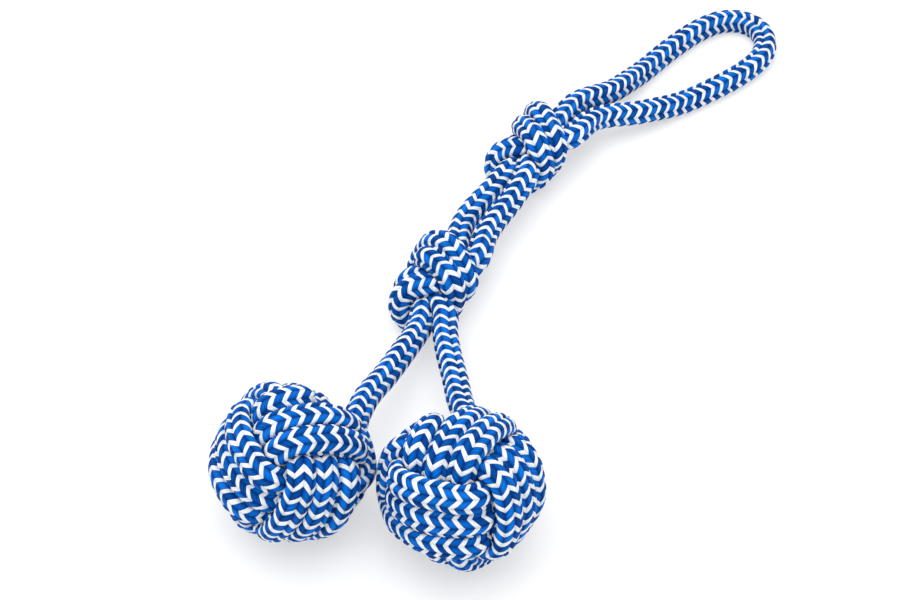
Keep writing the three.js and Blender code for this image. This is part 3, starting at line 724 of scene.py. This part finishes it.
def make_rope_material():
    """Blue and white facets of three yarns each, pale in their middles, with painted shade where they dive
    into the grooves and between their yarns.
    """
    material, nodes, links = new_material("braided_rope")
    shader = nodes["Principled BSDF"]

    def feed(socket, value):
        if isinstance(value, (tuple, float, int)):
            socket.default_value = value
        else:
            links.new(value, socket)

    def math_node(operation, *values):
        node = nodes.new("ShaderNodeMath")
        node.operation = operation
        for socket, value in zip(node.inputs, values):
            feed(socket, value)
        return node.outputs[0]

    def times(a, b):
        return math_node("MULTIPLY", a, b)

    def scaled(value, factor, start):
        return math_node("ADD", times(value, factor), start)

    def mix(factor, a, b):
        node = nodes.new("ShaderNodeMix")
        node.data_type = "RGBA"
        for socket, value in zip(("Factor", "A", "B"), (factor, a, b)):
            feed(node.inputs[socket], value)
        return node.outputs["Result"]

    def middle_of(share, power, depth):
        """1 in the middle of a facet, and less by the depth at its two ends: the share left by the painted
        shade where it dives.
        """
        off = math_node("ABSOLUTE", math_node("SUBTRACT", times(share, 2.0), 1.0))
        return math_node("SUBTRACT", 1.0, times(math_node("POWER", off, power), depth))

    def vector(x, y):
        node = nodes.new("ShaderNodeCombineXYZ")
        links.new(x, node.inputs["X"])
        links.new(y, node.inputs["Y"])
        return node.outputs[0]

    uv = nodes.new("ShaderNodeUVMap")
    uv.uv_map = "UVMap"
    split = nodes.new("ShaderNodeSeparateXYZ")
    links.new(uv.outputs["UV"], split.inputs["Vector"])
    u, v = split.outputs["X"], split.outputs["Y"]
    row = math_node("FLOOR", v)
    own = nodes.new("ShaderNodeTexWhiteNoise")
    own.noise_dimensions = "2D"
    links.new(vector(math_node("FLOOR", u), row), own.inputs["Vector"])
    across, along = math_node("FRACT", u), math_node("FRACT", v)
    # yarn is 0 between yarns and 1 at their middles; it shapes the bump, and as painted shade it darkens the
    # colour between yarns
    yarn = math_node("ABSOLUTE", math_node("SINE", times(along, math.pi * YARNS)))
    fibre = nodes.new("ShaderNodeTexNoise")
    fibre.inputs["Scale"].default_value = 1.0
    fibre.inputs["Detail"].default_value = 3.0
    links.new(vector(times(u, FIBRES_ACROSS), times(v, FIBRES_ALONG)), fibre.inputs["Vector"])

    # Painted shade: each facet darkens towards its ends and sides, where it dives into the grooves, and
    # between its yarns; its own tone and its fibres vary at random
    middle = times(middle_of(across, *PAINTED_END_SHADE), middle_of(along, *PAINTED_SIDE_SHADE))
    own_share = scaled(own.outputs["Value"], *OWN_TONE)
    grain = scaled(fibre.outputs["Fac"], *FIBRE_TONE)
    blue = mix(times(times(middle, own_share), times(grain, scaled(yarn, *YARN_GAP_SHADE))), *BLUE)
    white = mix(times(math_node("POWER", middle, WHITE_SHADE_POWER), scaled(yarn, *WHITE_YARN_GAP_SHADE)), *WHITE)
    links.new(mix(math_node("MODULO", row, 2.0), blue, white), shader.inputs["Base Color"])
    shader.inputs["Specular IOR Level"].default_value = SHINE
    links.new(scaled(fibre.outputs["Fac"], *ROUGHNESS), shader.inputs["Roughness"])
    bump = nodes.new("ShaderNodeBump")
    bump.inputs["Distance"].default_value = BUMP
    bump.inputs["Strength"].default_value = 1.0
    height = math_node("ADD", times(yarn, YARN_BUMP), times(fibre.outputs["Fac"], FIBRE_BUMP))
    links.new(height, bump.inputs["Height"])
    links.new(bump.outputs["Normal"], shader.inputs["Normal"])
    return material


def make_core_material():
    """A plain moulded rubber ball with a fine grain."""
    material, nodes, links = new_material("moulded_core")
    shader = nodes["Principled BSDF"]
    place = nodes.new("ShaderNodeTexCoord")
    grain = nodes.new("ShaderNodeTexNoise")
    grain.inputs["Scale"].default_value = CORE_GRAIN
    grain.inputs["Detail"].default_value = 4.0
    links.new(place.outputs["Object"], grain.inputs["Vector"])
    tint = nodes.new("ShaderNodeMix")
    tint.data_type = "RGBA"
    tint.inputs["A"].default_value, tint.inputs["B"].default_value = CORE_COLOUR
    links.new(grain.outputs["Fac"], tint.inputs["Factor"])
    links.new(tint.outputs["Result"], shader.inputs["Base Color"])
    shader.inputs["Roughness"].default_value = CORE_ROUGHNESS
    bump = nodes.new("ShaderNodeBump")
    bump.inputs["Distance"].default_value = CORE_BUMP
    links.new(grain.outputs["Fac"], bump.inputs["Height"])
    links.new(bump.outputs["Normal"], shader.inputs["Normal"])
    return material


rope_material = make_rope_material()
core_material = make_core_material()


# The pieces


def rigid_piece(name, s0, s1, body, node):
    piece = braid(name, row_at(s0), row_at(s1))
    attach(piece, body)
    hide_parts(node)


def bending_piece(name, section, half, node):
    """The first or second half of a free stretch."""
    a, b = marks[section]
    s0, s1 = (a, (a + b) / 2) if half == 1 else ((a + b) / 2, b)
    piece = braid(name, row_at(s0), row_at(s1))
    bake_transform(piece)
    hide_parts(node)


def knot_piece(name, section, body, node):
    rigid_piece(name, *marks[section], body, node)


def hand_loop():
    """The cord: the loop and both roots in one piece."""
    start, end = marks["root_left"][0], marks["root_right"][1]
    handle = braid("hand_loop_rope", row_at(start), row_at(end))
    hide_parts("handle_loop", "handle_root_left", "handle_root_right")
    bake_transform(handle)


rigid_piece("left_ball_rope", TAIL_START, marks["left_ball"][1], "ball_left", "left_ball_winding")
bending_piece("left_leg_near_ball", "left_leg", 1, "left_leg")
bending_piece("left_leg_near_knot", "left_leg", 2, "left_leg")
knot_piece("lower_knot_rope_left", "lower_left", "lower_knot", "lower_knot_strand_left")
bending_piece("neck_low_left", "neck_left", 1, "neck_strand_left")
bending_piece("neck_high_left", "neck_left", 2, "neck_strand_left")
knot_piece("upper_knot_rope_left", "upper_left", "upper_knot", "upper_knot_strand_left")
hand_loop()
knot_piece("upper_knot_rope_right", "upper_right", "upper_knot", "upper_knot_strand_right")
bending_piece("neck_high_right", "neck_right", 1, "neck_strand_right")
bending_piece("neck_low_right", "neck_right", 2, "neck_strand_right")
knot_piece("lower_knot_rope_right", "lower_right", "lower_knot", "lower_knot_strand_right")
bending_piece("right_leg_near_knot", "right_leg", 1, "right_leg")
bending_piece("right_leg_near_ball", "right_leg", 2, "right_leg")
rigid_piece("right_ball_rope", marks["right_ball"][0], rope_length - TAIL_START, "ball_right",
            "right_ball_winding")

for node in ("left_ball_core", "right_ball_core"):
    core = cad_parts[node]
    if not core.material_slots:
        core.data.materials.append(core_material)
    for core_slot in core.material_slots:
        core_slot.material = core_material


# Floor and light


def make_floor():
    """A pale floor, which the camera sees paler than it lights the toy, so that shadows stay faint."""
    mesh = bpy.data.meshes.new("floor")
    corners = [(x * FLOOR_HALF, y * FLOOR_HALF, 0) for x, y in ((-1, -1), (1, -1), (1, 1), (-1, 1))]
    mesh.from_pydata(corners, [], [(0, 1, 2, 3)])
    floor = bpy.data.objects.new("floor", mesh)
    bpy.context.scene.collection.objects.link(floor)
    material, nodes, links = new_material("floor")
    shader = nodes["Principled BSDF"]
    shader.inputs["Base Color"].default_value = (FLOOR_GREY, FLOOR_GREY, FLOOR_GREY, 1)
    shader.inputs["Roughness"].default_value = 0.9
    shader.inputs["Specular IOR Level"].default_value = 0.0
    glow = nodes.new("ShaderNodeEmission")
    glow.inputs["Color"].default_value = (1.0, 1.0, 1.0, 1)
    glow.inputs["Strength"].default_value = 1.0
    seen = nodes.new("ShaderNodeLightPath")
    share = nodes.new("ShaderNodeMath")
    share.operation = "MULTIPLY"
    share.inputs[1].default_value = FLOOR_GLOW
    links.new(seen.outputs["Is Camera Ray"], share.inputs[0])
    both = nodes.new("ShaderNodeMixShader")
    links.new(share.outputs[0], both.inputs[0])
    links.new(shader.outputs[0], both.inputs[1])
    links.new(glow.outputs[0], both.inputs[2])
    links.new(both.outputs[0], nodes["Material Output"].inputs["Surface"])
    mesh.materials.append(material)


def light_scene():
    world = bpy.data.worlds.new("world")
    bpy.context.scene.world = world
    world.use_nodes = True
    background = world.node_tree.nodes["Background"]
    background.inputs["Color"].default_value = (1, 1, 1, 1)
    background.inputs["Strength"].default_value = WORLD_STRENGTH
    light = bpy.data.lights.new("key", "AREA")
    light.energy = LIGHT_POWER
    light.size = LIGHT_SIZE
    holder = bpy.data.objects.new("key", light)
    holder.location = LIGHT_PLACE
    holder.rotation_euler = LIGHT_PLACE.to_track_quat("Z", "Y").to_euler()
    bpy.context.scene.collection.objects.link(holder)


make_floor()
light_scene()

bpy.context.scene.view_settings.view_transform = "Standard"
